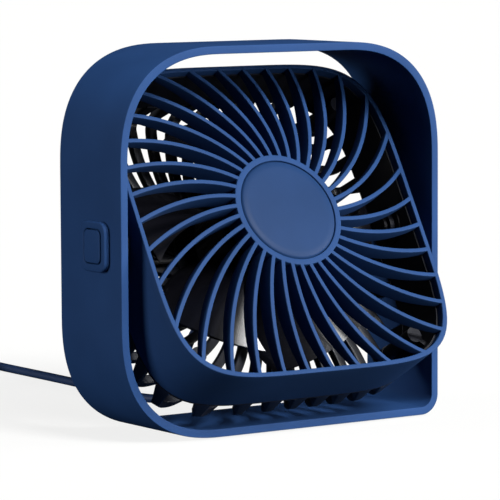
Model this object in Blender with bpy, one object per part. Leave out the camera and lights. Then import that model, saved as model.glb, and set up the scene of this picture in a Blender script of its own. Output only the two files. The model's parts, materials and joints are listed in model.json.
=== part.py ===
"""Square tilting USB desk fan.

Metres, +Z up. The fan faces -Y and its left side, with the speed button, is at -X.
The origin lies on the table under the middle of the stand. A band-shaped stand holds a
rounded square fan head between two pivots, and the head is tilted back at rest.
"""

import math

import bmesh
import bpy
from mathutils import Vector

# Stand: a flat band bent into a rounded square, open at the front and the back.
STAND_SIZE = 0.145
STAND_DEPTH = 0.042
STAND_WALL = 0.003
STAND_CORNER = 0.0445
STAND_CORNER_POWER = 2.5
STAND_SMALL_CORNER = 0.0077
PAD_THICKNESS = 0.0005
PAD_SIDES = (-0.026, 0.062)
PAD_DEPTH = 0.034

# Tilt pivot: a left-right axis at half the stand's height.
PIVOT_Y = -0.0046
PIVOT_Z = PAD_THICKNESS + STAND_SIZE / 2
REST_TILT = math.radians(30)
BOSS_RADIUS = 0.005
BOSS_BORE = 0.003
BOSS_END = 0.0582
POD_SIZE = 0.019
POD_DEPTH = 0.0042
WASHER_RADIUS = 0.0085
WASHER_THICKNESS = 0.0007
CLIP_RADIUS = 0.0075
CLIP_THICKNESS = 0.0008

# Side button and the blank cover that matches it on the right.
BEZEL_DEPTH = 0.0172
BEZEL_HEIGHT = 0.0186
BEZEL_RISE = 0.0022
BEZEL_WALL = 0.0017
BEZEL_CORNER = 0.0042
BUTTON_RISE = 0.0024
BUTTON_THICKNESS = 0.0016
BUTTON_STEM = 0.0014
BUTTON_TRAVEL = 0.0006
STEM_REACH = 0.0008

# Head: a rounded square drawn in its front view, x right, y up, z out of the front.
HEAD_HALF = 0.0636
HEAD_POWER = 5.0
HEAD_FRONT = 0.0164
HEAD_DEPTH = 0.0415
RIM_WIDTH = 0.0018
RIM_DEPTH = 0.0034
SHELL_WALL = 0.0022
SHELL_BACK = 0.026
OUTLINE_STEPS = 72

# Front grille: spiral ribs that rise from the rim to a raised centre ring.
FRONT_RIBS = 35
FRONT_FIRST_RIB = math.radians(152)
FRONT_SWEEP = math.radians(410)
FRONT_RIB_WIDTH = 0.0016
FRONT_RIB_STEPS = 7
RING_RADIUS = 0.0228
RING_WALL = 0.0024
DOME_RISE = 0.0055
DOME_POWER = 1.6
CAP_RADIUS = 0.0198
CAP_THICKNESS = 0.0016

# Rear grille: spiral ribs that wrap round the edge of the head.
REAR_RIBS = 36
REAR_FIRST_RIB = math.radians(7.9)
REAR_SWEEP = math.radians(-590)
REAR_SLOT_STEPS = 3
REAR_STEPS = 48
REAR_RIB_WIDTH = 0.0037
REAR_RIB_FOOT = 0.0062
REAR_FOOT_TURN = math.radians(-1.8)
REAR_FOOT_END = 0.0355
REAR_WALL = 0.0034
REAR_LEAST_INSET = 0.0008
REAR_EDGE = 0.0060
REAR_HUB = 0.0235
REAR_RING_DEPTH = 0.0009
HUB_COVER_THICKNESS = 0.0018

# Impeller, turning on the head's front-to-back axis.
BLADES = 6
BLADE_TIP = 0.0512
BLADE_THICKNESS = 0.0013
BLADE_SPAN = math.radians(44)
BLADE_SWEEP = math.radians(22)
BLADE_FRONT = 0.0108
BLADE_BACK = 0.0318
BLADE_PHASE = math.radians(27)
HUB_RADIUS = 0.0215
HUB_FRONT = 0.0085
HUB_BACK = 0.0300

# Outrunner motor inside the impeller's hub.
CUP_RADIUS = 0.0180
CUP_WALL = 0.0010
CUP_FRONT = 0.0105
CUP_BACK = 0.0285
MAGNET_WALL = 0.0016
CORE_RADIUS = 0.0139
CORE_HUB = 0.0052
CORE_FRONT = 0.0165
CORE_BACK = 0.0245
POLES = 4
TUBE_RADIUS = 0.0046
TUBE_BORE = 0.0037
SHAFT_RADIUS = 0.0015
BEARING_BORE = 0.0018
BEARING_RADIUS = 0.0034
BEARING_WIDTH = 0.0025
BOARD_RADIUS = 0.0160
BOARD_THICKNESS = 0.0012

# Screws that hold the rear grille on the shell; each passes an ear on the grille.
SCREW_PLACE = 0.0492
SCREW_BOSS = 0.0031
SCREW_HEAD = 0.0025
SCREW_HEAD_HEIGHT = 0.0015
SCREW_SHAFT = 0.0010
SCREW_LENGTH = 0.0120
SCREW_PILOT = 0.0013
BOSS_LENGTH = 0.0180
EAR_RADIUS = 0.0034
EAR_BORE = 0.0014
EAR_THICKNESS = 0.0030
WEB_THICKNESS = 0.0018

# USB lead.
CORD = 0.0035
CORD_FLOOR = CORD / 2 + 0.0001
RELIEF_LENGTH = 0.014
RELIEF_BASE = 0.0034
RELIEF_TIP = 0.0024
RELIEF_DROP = 0.0125
CORD_STEP = 0.0080
DROP_POINTS = 10
COIL_MIDDLE = (-0.021, 0.216)
COIL_RING = 0.0205
COIL_HALF_WIDTH = 0.0070
COIL_HEIGHT = 0.0085
COIL_LIFT = 0.0010
TAIL_START = -0.0375
TAIL_LENGTH = 0.0155
TAIL_Y = 0.2405
TAIL_Z = 0.0040
PLUG_RELIEF = 0.009
PLUG_METAL = (0.0120, 0.0120, 0.0045)
PLUG_BODY = (0.0260, 0.0155, 0.0078)

TOUCH = 0.0003
MERGE = 1e-6

# World points of the lead, from the strain relief down to the table and straight back.
CORD_ROUTE = [
    (0.0, 0.0265, 0.0406),
    (0.0, 0.0303, 0.0385),
    (0.0, 0.0341, 0.0362),
    (0.0, 0.0393, 0.0324),
    (0.0, 0.0438, 0.0270),
    (0.0, 0.0473, 0.0205),
    (0.0, 0.0506, 0.0132),
    (0.0, 0.0546, 0.0074),
    (0.0, 0.0600, 0.0038),
    (-0.0010, 0.0670, 0.0023),
    (-0.0022, 0.0760, CORD_FLOOR),
    (-0.0020, 0.0900, CORD_FLOOR),
    (-0.0014, 0.1050, CORD_FLOOR),
    (-0.0008, 0.1250, CORD_FLOOR),
    (-0.0004, 0.1500, CORD_FLOOR),
    (-0.0004, 0.1730, CORD_FLOOR),
    (-0.0005, 0.1950, CORD_FLOOR),
]

OLD_OBJECTS = list(bpy.data.objects)
for old in OLD_OBJECTS:
    bpy.data.objects.remove(old, do_unlink=True)


# ---------------------------------------------------------------- materials


def plastic(name, colour, roughness=0.45, metallic=0.0):
    """A Principled material."""
    material = bpy.data.materials.new(name)
    material.use_nodes = True
    shader = material.node_tree.nodes["Principled BSDF"]
    shader.inputs["Base Color"].default_value = (*colour, 1.0)
    shader.inputs["Roughness"].default_value = roughness
    shader.inputs["Metallic"].default_value = metallic
    return material


NAVY = plastic("navy_plastic", (0.026, 0.075, 0.205), 0.42)
BLACK = plastic("black_plastic", (0.008, 0.008, 0.012), 0.38)
BLADE = plastic("blade_plastic", (0.012, 0.012, 0.015), 0.25)
STEEL = plastic("steel", (0.62, 0.62, 0.64), 0.28, 1.0)
BLACKENED = plastic("blackened_steel", (0.03, 0.03, 0.032), 0.45, 1.0)
COPPER = plastic("copper", (0.72, 0.32, 0.15), 0.35, 1.0)
FERRITE = plastic("ferrite", (0.05, 0.05, 0.055), 0.6)
BOARD = plastic("circuit_board", (0.03, 0.16, 0.08), 0.5)
NYLON = plastic("nylon", (0.75, 0.75, 0.72), 0.5)
RUBBER = plastic("rubber", (0.02, 0.02, 0.022), 0.8)


# ---------------------------------------------------------------- outlines


def rounded_square(width, height, corners, power, steps):
    """Points round a rectangle, counter-clockwise from the right, one corner size each."""
    places = [(1, 1, 0), (-1, 1, 1), (-1, -1, 2), (1, -1, 3)]
    points = []
    for (side_x, side_y, quarter), size in zip(places, corners):
        middle = (side_x * (width / 2 - size), side_y * (height / 2 - size))
        bend = power if size > STAND_WALL * 4 else 2.0
        for step in range(steps + 1):
            angle = (quarter + step / steps) * math.pi / 2
            across, up = math.cos(angle), math.sin(angle)
            points.append(
                (
                    middle[0] + math.copysign(abs(across) ** (2 / bend), across) * size,
                    middle[1] + math.copysign(abs(up) ** (2 / bend), up) * size,
                )
            )
    return points


def squircle_reach(half, power, angle):
    """Distance from the middle of a superellipse to its edge in one direction."""
    across, up = abs(math.cos(angle)), abs(math.sin(angle))
    return half / (across**power + up**power) ** (1 / power)


def squircle(half, power=HEAD_POWER, steps=OUTLINE_STEPS):
    points = []
    for step in range(steps):
        angle = 2 * math.pi * step / steps
        reach = squircle_reach(half, power, angle)
        points.append((reach * math.cos(angle), reach * math.sin(angle)))
    return points


def circle(radius, steps):
    angles = [2 * math.pi * step / steps for step in range(steps)]
    return [(radius * math.cos(angle), radius * math.sin(angle)) for angle in angles]


def spiral_edge(first, width_side, reach_limit):
    """One side of a front rib, from the centre ring out to where it meets the rim."""
    end = reach_limit
    for _ in range(30):
        angle = first + FRONT_SWEEP * (end - RING_RADIUS) + width_side / end
        end = squircle_reach(reach_limit, HEAD_POWER, angle)
    points = []
    for step in range(FRONT_RIB_STEPS + 1):
        radius = RING_RADIUS + (end - RING_RADIUS) * step / FRONT_RIB_STEPS
        angle = first + FRONT_SWEEP * (radius - RING_RADIUS) + width_side / radius
        points.append((radius, angle))
    return points


# ---------------------------------------------------------------- solids


def finish(name, mesh_data, material, parent=None, smooth=35):
    """Turn a bmesh into a named object with its faces pointing out."""
    bmesh.ops.remove_doubles(mesh_data, verts=mesh_data.verts, dist=MERGE)
    bmesh.ops.recalc_face_normals(mesh_data, faces=mesh_data.faces)
    mesh = bpy.data.meshes.new(name)
    mesh_data.to_mesh(mesh)
    mesh_data.free()
    mesh.materials.append(material)
    mesh.shade_smooth()
    mesh.set_sharp_from_angle(angle=math.radians(smooth))
    piece = bpy.data.objects.new(name, mesh)
    bpy.context.scene.collection.objects.link(piece)
    piece.parent = parent
    return piece


def ring_of_loops(name, loops, material, parent=None):
    """A closed ring-shaped solid whose cross-section has one corner per loop."""
    shape = bmesh.new()
    rows = [[shape.verts.new(point) for point in loop] for loop in loops]
    for row, following in zip(rows, rows[1:] + rows[:1]):
        for index in range(len(row)):
            after = (index + 1) % len(row)
            shape.faces.new((row[index], row[after], following[after], following[index]))
    bmesh.ops.triangulate(shape, faces=shape.faces)
    bmesh.ops.dissolve_limit(shape, angle_limit=1e-5, verts=shape.verts, edges=shape.edges)
    return finish(name, shape, material, parent)


def turned(name, profile, material, parent=None, steps=32):
    """A solid turned about its own Z axis from (radius, height) corners."""
    shape = bmesh.new()
    corners = [shape.verts.new((radius, 0, height)) for radius, height in profile]
    for corner, following in zip(corners, corners[1:] + corners[:1]):
        if corner.co.x > MERGE or following.co.x > MERGE:
            shape.edges.new((corner, following))
    bmesh.ops.spin(
        shape,
        geom=shape.verts[:] + shape.edges[:],
        axis=(0, 0, 1),
        cent=(0, 0, 0),
        angle=2 * math.pi,
        steps=steps,
        use_merge=True,
    )
    return finish(name, shape, material, parent)


def washer(name, outer, inner, low, high, material, parent=None, steps=32):
    profile = [(inner, low), (outer, low), (outer, high), (inner, high)]
    return turned(name, profile, material, parent, steps)


def prism(name, outline, low, high, material, parent=None):
    """A solid with this outline in x and y, from one height to another."""
    shape = bmesh.new()
    face = shape.faces.new([shape.verts.new((x, y, low)) for x, y in outline])
    raised = bmesh.ops.extrude_face_region(shape, geom=[face])["geom"]
    moved = [item for item in raised if isinstance(item, bmesh.types.BMVert)]
    bmesh.ops.translate(shape, verts=moved, vec=(0, 0, high - low))
    return finish(name, shape, material, parent)


def plate_with_windows(name, outline, windows, low, high, material, parent=None):
    """A flat plate with holes, as a filled two-dimensional curve."""
    curve = bpy.data.curves.new(name, "CURVE")
    curve.dimensions = "2D"
    curve.fill_mode = "BOTH"
    curve.extrude = (high - low) / 2
    for loop in [outline, *windows]:
        spline = curve.splines.new("POLY")
        spline.points.add(len(loop) - 1)
        for point, (x, y) in zip(spline.points, loop):
            point.co = (x, y, 0, 1)
        spline.use_cyclic_u = True
    drawn = bpy.data.objects.new(name + "_outline", curve)
    bpy.context.scene.collection.objects.link(drawn)
    graph = bpy.context.evaluated_depsgraph_get()
    mesh = bpy.data.meshes.new_from_object(drawn.evaluated_get(graph))
    bpy.data.objects.remove(drawn, do_unlink=True)
    shape = bmesh.new()
    shape.from_mesh(mesh)
    bmesh.ops.translate(shape, verts=shape.verts, vec=(0, 0, (high + low) / 2))
    return finish(name, shape, material, parent)


def cut(piece, cutter, operation="DIFFERENCE"):
    """A Boolean that stays on the piece; its cutter sits on its own axis and isn't a part."""
    modifier = piece.modifiers.new(cutter.name, "BOOLEAN")
    modifier.object = cutter
    modifier.operation = operation
    modifier.solver = "EXACT"
    cutter.hide_render = True
    cutter.display_type = "WIRE"
    return piece


def tube(name, route, radius, material, resolution=2, parent=None):
    """A round cord along a smooth curve, closed at both ends."""
    curve = bpy.data.curves.new(name, "CURVE")
    curve.dimensions = "3D"
    curve.bevel_depth = radius
    curve.bevel_resolution = resolution
    curve.use_fill_caps = True
    spline = curve.splines.new("POLY")
    spline.points.add(len(route) - 1)
    for point, place in zip(spline.points, route):
        point.co = (*place, 1)
    curve.materials.append(material)
    piece = bpy.data.objects.new(name, curve)
    bpy.context.scene.collection.objects.link(piece)
    piece.parent = parent
    return piece


def smooth_route(points, spacing):
    """Evenly spaced points on a Catmull-Rom curve through hand-chosen ones."""
    ends = [2 * Vector(points[0]) - Vector(points[1])]
    ends += [Vector(point) for point in points]
    ends += [2 * ends[-1] - ends[-2]]
    dense = []
    for a, b, c, d in zip(ends, ends[1:], ends[2:], ends[3:]):
        for step in range(16):
            t = step / 16
            dense.append(
                0.5 * (2 * b + (c - a) * t + (2 * a - 5 * b + 4 * c - d) * t**2)
                + 0.5 * (3 * b - a - 3 * c + d) * t**3
            )
    dense.append(ends[-2])
    length = sum((b - a).length for a, b in zip(dense, dense[1:]))
    count = max(2, round(length / spacing))
    even = [dense[0]]
    walked = 0.0
    for a, b in zip(dense, dense[1:]):
        step = (b - a).length
        while len(even) < count and walked + step >= length * len(even) / count:
            share = (length * len(even) / count - walked) / step
            even.append(a.lerp(b, share))
        walked += step
    even.append(dense[-1])
    return even


def empty(name, place, rotation=(0, 0, 0), parent=None):
    axis = bpy.data.objects.new(name, None)
    bpy.context.scene.collection.objects.link(axis)
    axis.location = place
    axis.rotation_euler = rotation
    axis.parent = parent
    return axis


# ---------------------------------------------------------------- the axes

PIVOT = empty("tilt_axis", (0, PIVOT_Y, PIVOT_Z), (-REST_TILT, 0, 0))
FRONT = empty("head_front", (0, -HEAD_FRONT, 0), (math.pi / 2, 0, 0), PIVOT)
LEFT = empty("left_side", (0, PIVOT_Y, PIVOT_Z), (0, -math.pi / 2, 0))
RIGHT = empty("right_side", (0, PIVOT_Y, PIVOT_Z), (0, math.pi / 2, 0))
LEFT_HEAD = empty("left_of_head", (0, 0, 0), (0, -math.pi / 2, 0), PIVOT)
RIGHT_HEAD = empty("right_of_head", (0, 0, 0), (0, math.pi / 2, 0), PIVOT)
WALL_OUT = STAND_SIZE / 2
WALL_IN = WALL_OUT - STAND_WALL


# ---------------------------------------------------------------- stand


def stand_outline(inset):
    size = STAND_SIZE - 2 * inset
    corner = STAND_CORNER - inset
    corners = (corner, corner, corner, STAND_SMALL_CORNER - inset)
    return rounded_square(size, size, corners, STAND_CORNER_POWER, 9)


def stand_frame():
    lift = PAD_THICKNESS + STAND_SIZE / 2
    loops = []
    for inset, y in ((0, -1), (0, 1), (STAND_WALL, 1), (STAND_WALL, -1)):
        outline = stand_outline(inset)
        loops.append([(x, y * STAND_DEPTH / 2, z + lift) for x, z in outline])
    frame = ring_of_loops("stand_frame", loops, NAVY)
    window = bezel_outline(BEZEL_WALL - TOUCH)
    for side, place in (("left", LEFT), ("right", RIGHT)):
        cut(frame, prism(f"{side}_window", window, WALL_IN - 0.002, WALL_OUT + 0.002, NAVY, place))
    return frame


def bezel_outline(inset):
    """The side cover's rounded square; x is up or down and y is depth."""
    width = BEZEL_HEIGHT - 2 * inset
    depth = BEZEL_DEPTH - 2 * inset
    corner = BEZEL_CORNER - inset * 0.6
    return rounded_square(width, depth, (corner,) * 4, 2.0, 4)


def foot_pad():
    low, high = PAD_SIDES
    half = PAD_DEPTH / 2
    outline = [(low, -half), (high, -half), (high, half), (low, half)]
    return prism("foot_pad", outline, 0, PAD_THICKNESS - TOUCH / 2, RUBBER)


def side_bezel(name, place, blank):
    """A raised collar in the wall's window, or a blank cover of the same size."""
    out, skirt = WALL_OUT, WALL_IN
    if blank:
        outline = bezel_outline(BEZEL_WALL)
        piece = prism(name, outline, skirt + 0.0004, out + TOUCH, NAVY, place)
        lid_outline = bezel_outline(0)
        lid = prism(name + "_lid", lid_outline, out + 0.00025, out + BEZEL_RISE, NAVY, place)
        return cut(piece, lid, "UNION")
    hole = bezel_outline(BEZEL_WALL + 0.0012)
    flange = bezel_outline(0)
    tight = bezel_outline(BEZEL_WALL)
    loops = [
        [(x, y, skirt + 0.0004) for x, y in tight],
        [(x, y, out + TOUCH) for x, y in tight],
        [(x, y, out + TOUCH) for x, y in flange],
        [(x, y, out + BEZEL_RISE) for x, y in flange],
        [(x, y, out + BEZEL_RISE) for x, y in hole],
        [(x, y, skirt + 0.0004) for x, y in hole],
    ]
    return ring_of_loops(name, loops, NAVY, place)


def speed_button():
    """The sprung cap inside the bezel, with the stem that meets the switch."""
    face = WALL_OUT + BUTTON_RISE
    outline = bezel_outline(BEZEL_WALL + 0.0012 + TOUCH)
    cap = prism("speed_button", outline, face - BUTTON_THICKNESS, face, NAVY, LEFT)
    stem = turned(
        "button_stem",
        [
            (0, WALL_OUT - STEM_REACH),
            (BUTTON_STEM, WALL_OUT - STEM_REACH),
            (BUTTON_STEM, face - 0.0008),
            (0, face - 0.0008),
        ],
        NAVY,
        LEFT,
        12,
    )
    return cut(cap, stem, "UNION")


def box(name, size, middle, material, parent=None):
    """A closed block, by its size and its middle."""
    half = [length / 2 for length in size]
    outline = [(side * half[0], -half[1]) for side in (-1, 1)]
    outline += [(side * half[0], half[1]) for side in (1, -1)]
    piece = prism(name, outline, -half[2], half[2], material, parent)
    piece.location = middle
    return piece


def switch_parts():
    """A push switch on a small board, in the pod behind the button."""
    pod_floor = WALL_IN - POD_DEPTH
    board_low = pod_floor + 0.0016
    box("switch_board", (0.0125, 0.0125, 0.0010), (0, 0, board_low + 0.0005), BOARD, LEFT)
    body_low = board_low + 0.0010 + TOUCH
    box("switch_body", (0.006, 0.006, 0.0016), (0, 0, body_low + 0.0008), FERRITE, LEFT)
    low = body_low + 0.0016 + TOUCH
    high = WALL_OUT - STEM_REACH - BUTTON_TRAVEL - 0.0002
    profile = [(0, low), (0.0015, low), (0.0015, high), (0, high)]
    turned("switch_plunger", profile, NYLON, LEFT, 16)


def switch_pod():
    """The box behind the button; its hollow boss carries the head and the wires."""
    half = POD_SIZE / 2
    inner = half - 0.0016
    low, high = WALL_IN - POD_DEPTH, WALL_IN - TOUCH
    square = rounded_square(2 * half, 2 * half, (0.004,) * 4, 2.0, 4)
    pod = prism("switch_pod", square, low, high, BLACK, LEFT)
    hollow = rounded_square(2 * inner, 2 * inner, (0.0026,) * 4, 2.0, 4)
    cut(pod, prism("pod_hollow", hollow, low + 0.0012, high + 0.001, NAVY, LEFT))
    boss = turned(
        "pod_boss",
        [(0, BOSS_END), (BOSS_RADIUS, BOSS_END), (BOSS_RADIUS, low + 0.0006), (0, low + 0.0006)],
        NAVY,
        LEFT,
        24,
    )
    cut(pod, boss, "UNION")
    bore = [
        (0, BOSS_END - 0.001),
        (BOSS_BORE, BOSS_END - 0.001),
        (BOSS_BORE, low + 0.003),
        (0, low + 0.003),
    ]
    return cut(pod, turned("pod_bore", bore, NAVY, LEFT, 24))


def pivot_pin():
    """The plain right-hand pivot: a flange on the wall and a boss with a screw hole."""
    high = WALL_IN - TOUCH
    low = WALL_IN - POD_DEPTH
    profile = [
        (0.0013, BOSS_END),
        (BOSS_RADIUS, BOSS_END),
        (BOSS_RADIUS, low),
        (POD_SIZE / 2, low),
        (POD_SIZE / 2, high),
        (0.0013, high),
    ]
    turned("pivot_pin", profile, BLACK, RIGHT, 32)
    washer_face = BOSS_END - TOUCH
    head = [
        (0, washer_face - 0.0014),
        (0.0034, washer_face - 0.0014),
        (0.0034, washer_face),
        (0.0010, washer_face),
        (0.0010, high - 0.001),
        (0, high - 0.001),
    ]
    turned("pivot_screw", head, BLACKENED, RIGHT, 20)


def friction_parts():
    """Washers that hold the tilt by friction, and the clip inside the head."""
    side = squircle_reach(HEAD_HALF, HEAD_POWER, 0)
    outer_low = side + TOUCH
    for name, place in (("left", LEFT), ("right", RIGHT)):
        washer(
            f"friction_washer_{name}",
            WASHER_RADIUS,
            BOSS_RADIUS + TOUCH,
            outer_low,
            outer_low + WASHER_THICKNESS,
            BLACK,
            place,
        )
        high = side - SHELL_WALL - TOUCH
        washer(
            f"boss_clip_{name}",
            CLIP_RADIUS,
            BOSS_RADIUS + TOUCH / 2,
            high - CLIP_THICKNESS,
            high,
            BLACKENED,
            place,
        )


# ---------------------------------------------------------------- head


def head_shell():
    """The rounded square side wall, with screw bosses in its corners."""
    front, back = -RIM_DEPTH - TOUCH, -SHELL_BACK
    loops = []
    for inset, height in ((0, front), (0, back), (SHELL_WALL, back), (SHELL_WALL, front)):
        loops.append([(x, y, height) for x, y in squircle(HEAD_HALF - inset)])
    shell = ring_of_loops("head_shell", loops, NAVY, FRONT)
    for index, place in enumerate(screw_places()):
        boss = screw_rod(f"shell_boss_{index}", place, SCREW_BOSS, back, back + BOSS_LENGTH, NAVY)
        web = corner_web(f"shell_web_{index}", place, back + 0.0004, back + BOSS_LENGTH - 0.0015)
        pilot_end = back + SCREW_LENGTH + 0.0015
        pilot = screw_rod(f"shell_pilot_{index}", place, SCREW_PILOT, back - 0.001, pilot_end, NAVY)
        cut(shell, boss, "UNION")
        cut(shell, web, "UNION")
        cut(shell, pilot)
    bore = BOSS_RADIUS + TOUCH
    for name, side in (("left", LEFT_HEAD), ("right", RIGHT_HEAD)):
        profile = [(0, 0.055), (bore, 0.055), (bore, 0.066), (0, 0.066)]
        cut(shell, turned(f"shell_bore_{name}", profile, NAVY, side, 24))
    return shell


def screw_rod(name, place, radius, low, high, material):
    """A round rod along the head's axis at one screw."""
    rod = turned(name, [(0, low), (radius, low), (radius, high), (0, high)], material, FRONT, 12)
    rod.location = (*place, 0)
    return rod


def corner_web(name, place, low, high):
    """The rib that joins a screw boss to the wall at the corner of the head."""
    outward = Vector((*place, 0)).normalized()
    across = Vector((-outward.y, outward.x, 0)) * WEB_THICKNESS / 2
    start = Vector((*place, 0)) + outward * 0.0022
    corner = math.atan2(outward.y, outward.x)
    reach = squircle_reach(HEAD_HALF, HEAD_POWER, corner) - SHELL_WALL / 2
    end = outward * reach
    outline = [start - across, end - across, end + across, start + across]
    return prism(name, [(p.x, p.y) for p in outline], low, high, NAVY, FRONT)


def screw_places():
    return [(sx * SCREW_PLACE, sy * SCREW_PLACE) for sx in (1, -1) for sy in (1, -1)]


def dome(x, y):
    """How far the front grille stands out of the rim's plane."""
    radius = math.hypot(x, y)
    edge = squircle_reach(HEAD_HALF - RIM_WIDTH, HEAD_POWER, math.atan2(y, x))
    share = min(max((radius - RING_RADIUS) / (edge - RING_RADIUS), 0.0), 1.0)
    return DOME_RISE * (1 - share**DOME_POWER)


def front_window(index):
    """The opening between two neighbouring front ribs."""
    pitch = 2 * math.pi / FRONT_RIBS
    first = FRONT_FIRST_RIB + index * pitch
    inner_edge = HEAD_HALF - RIM_WIDTH
    low_side = spiral_edge(first, FRONT_RIB_WIDTH / 2, inner_edge)
    high_side = spiral_edge(first + pitch, -FRONT_RIB_WIDTH / 2, inner_edge)
    outline = [(r * math.cos(a), r * math.sin(a)) for r, a in low_side]
    start, stop = low_side[-1][1], high_side[-1][1]
    for step in (1, 2):
        angle = start + (stop - start) * step / 3
        reach = squircle_reach(inner_edge, HEAD_POWER, angle)
        outline.append((reach * math.cos(angle), reach * math.sin(angle)))
    outline += [(r * math.cos(a), r * math.sin(a)) for r, a in reversed(high_side)]
    return outline


def front_grille():
    """Rim, spiral ribs and centre ring in one moulding, domed in front and flat behind."""
    windows = [front_window(index) for index in range(FRONT_RIBS)]
    windows.append(circle(RING_RADIUS - RING_WALL, 32))
    rim = squircle(HEAD_HALF)
    grille = plate_with_windows("front_grille", rim, windows, -RIM_DEPTH, 0, NAVY, FRONT)
    for vertex in grille.data.vertices:
        if vertex.co.z > -RIM_DEPTH / 2:
            vertex.co.z += dome(vertex.co.x, vertex.co.y)
    return grille


def centre_cap():
    """The plain disc in the ring, with a step that seats in the ring's bore."""
    face = DOME_RISE + 0.0004
    seat = RING_RADIUS - RING_WALL - TOUCH
    profile = [
        (0, face - CAP_THICKNESS - 0.0022),
        (seat - 0.0035, face - CAP_THICKNESS - 0.0022),
        (seat - 0.0035, face - CAP_THICKNESS),
        (seat, face - CAP_THICKNESS),
        (seat, face - 0.0006),
        (CAP_RADIUS - 0.0012, face),
        (0, face + 0.0003),
    ]
    return turned("centre_cap", profile, NAVY, FRONT, 40)


def rear_profile():
    """Half-size, depth and outline power down the outside of the rear grille."""
    rounds = 2
    flat = HEAD_HALF - REAR_EDGE
    rows = [(HEAD_HALF, SHELL_BACK + TOUCH, HEAD_POWER)]
    for step in range(rounds + 1):
        turn = math.pi / 2 * step / rounds
        half = flat + REAR_EDGE * math.cos(turn)
        depth = HEAD_DEPTH - REAR_EDGE + REAR_EDGE * math.sin(turn)
        rows.append((half, depth, HEAD_POWER))
    rows.append((0.042, HEAD_DEPTH + 0.0006, 3.0))
    rows.append((REAR_HUB - 0.003, HEAD_DEPTH + 0.0012, 2.0))
    return rows


def rear_grille():
    """A dished cover whose ribs run from the hub, round the edge, to the shell."""
    outside = rear_profile()
    inside = []
    for half, depth, power in reversed(outside):
        share = min(max((depth - SHELL_BACK) / (HEAD_DEPTH - SHELL_BACK), 0.0), 1.0)
        inward = max(REAR_WALL * (1 - share), REAR_LEAST_INSET) if half > 0.05 else 0.0
        inside.append((half - inward, depth - REAR_WALL * share, power))
    loops = []
    for half, depth, power in outside + inside:
        loops.append([(x, y, -depth) for x, y in squircle(half, power, REAR_STEPS)])
    grille = ring_of_loops("rear_grille", loops, BLACK, FRONT)
    cut(grille, rear_slots()).modifiers[-1].use_self = True
    high = -SHELL_BACK - TOUCH
    low = high - EAR_THICKNESS
    for index, place in enumerate(screw_places()):
        ear = screw_rod(f"rear_ear_{index}", place, EAR_RADIUS, low, high, BLACK)
        web = corner_web(f"rear_web_{index}", place, low + 0.0006, high - 0.0003)
        bore = screw_rod(f"rear_bore_{index}", place, EAR_BORE, low - 0.001, high + 0.001, BLACK)
        cut(grille, ear, "UNION")
        cut(grille, web, "UNION")
        cut(grille, bore)
    return grille


def slot_outline(index, rib_width, turn):
    """The outline of one gap between rear ribs, from near the hub past the head's edge."""
    pitch = 2 * math.pi / REAR_RIBS
    start, stop = REAR_HUB + 0.0006, 0.088
    sides = []
    for side in (-1, 1):
        points = []
        for step in range(REAR_SLOT_STEPS + 1):
            radius = start + (stop - start) * step / REAR_SLOT_STEPS
            outer = step / REAR_SLOT_STEPS > 0.5
            width = rib_width if outer else REAR_RIB_WIDTH
            half_angle = pitch / 2 - width / 2 / radius
            angle = REAR_FIRST_RIB + (index + 0.5) * pitch + REAR_SWEEP * (radius - start)
            angle += side * half_angle + (turn if outer else 0.0)
            points.append((radius * math.cos(angle), radius * math.sin(angle)))
        sides.append(points)
    return sides[0] + sides[1][::-1]


def rear_slots():
    """Every gap between rear ribs as one cutter; each narrows and turns towards the shell."""
    shape = bmesh.new()
    front = -SHELL_BACK - TOUCH - REAR_RING_DEPTH
    levels = [
        (-0.050, REAR_RIB_WIDTH, 0.0),
        (-REAR_FOOT_END, REAR_RIB_WIDTH, 0.0),
        (front, REAR_RIB_FOOT, REAR_FOOT_TURN),
    ]
    for index in range(REAR_RIBS):
        rows = []
        for height, width, turn in levels:
            outline = slot_outline(index, width, turn)
            rows.append([shape.verts.new((x, y, height)) for x, y in outline])
        shape.faces.new(rows[0][::-1])
        shape.faces.new(rows[-1])
        for row, following in zip(rows, rows[1:]):
            for a in range(len(row)):
                b = (a + 1) % len(row)
                shape.faces.new((row[a], row[b], following[b], following[a]))
    bmesh.ops.triangulate(shape, faces=shape.faces)
    return finish("rear_slots", shape, BLACK, FRONT)


def rear_hub_cover():
    """The disc that closes the middle of the rear grille."""
    back = HEAD_DEPTH + 0.0012 + TOUCH
    profile = [
        (0, -back - HUB_COVER_THICKNESS),
        (REAR_HUB - 0.0025, -back - HUB_COVER_THICKNESS),
        (REAR_HUB - 0.0005, -back - HUB_COVER_THICKNESS + 0.0012),
        (REAR_HUB - 0.0005, -back),
        (0, -back),
    ]
    return turned("rear_hub_cover", profile, BLACK, FRONT, 40)


def housing_screws():
    under = -SHELL_BACK - TOUCH - EAR_THICKNESS - TOUCH
    for index, place in enumerate(screw_places(), 1):
        profile = [
            (0, under - SCREW_HEAD_HEIGHT),
            (SCREW_HEAD, under - SCREW_HEAD_HEIGHT),
            (SCREW_HEAD, under),
            (SCREW_SHAFT, under),
            (SCREW_SHAFT, -SHELL_BACK + SCREW_LENGTH),
            (0, -SHELL_BACK + SCREW_LENGTH),
        ]
        screw = turned(f"housing_screw_{index}", profile, STEEL, FRONT, 12)
        screw.location = (*place, 0)


# ---------------------------------------------------------------- motor


def motor_base():
    """The plate that closes the hub's hole and carries the bearing tube."""
    back = -HEAD_DEPTH - 0.0012
    seat = back + REAR_WALL
    profile = [
        (TUBE_BORE, back + 0.0002),
        (REAR_HUB - 0.0035, back + 0.0002),
        (REAR_HUB - 0.0035, seat + TOUCH),
        (REAR_HUB + 0.0015, seat + TOUCH),
        (REAR_HUB + 0.0015, seat + 0.0018),
        (TUBE_RADIUS, seat + 0.0018),
        (TUBE_RADIUS, -0.0140),
        (TUBE_BORE, -0.0140),
    ]
    return turned("motor_base", profile, BLACK, FRONT, 36)


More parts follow.
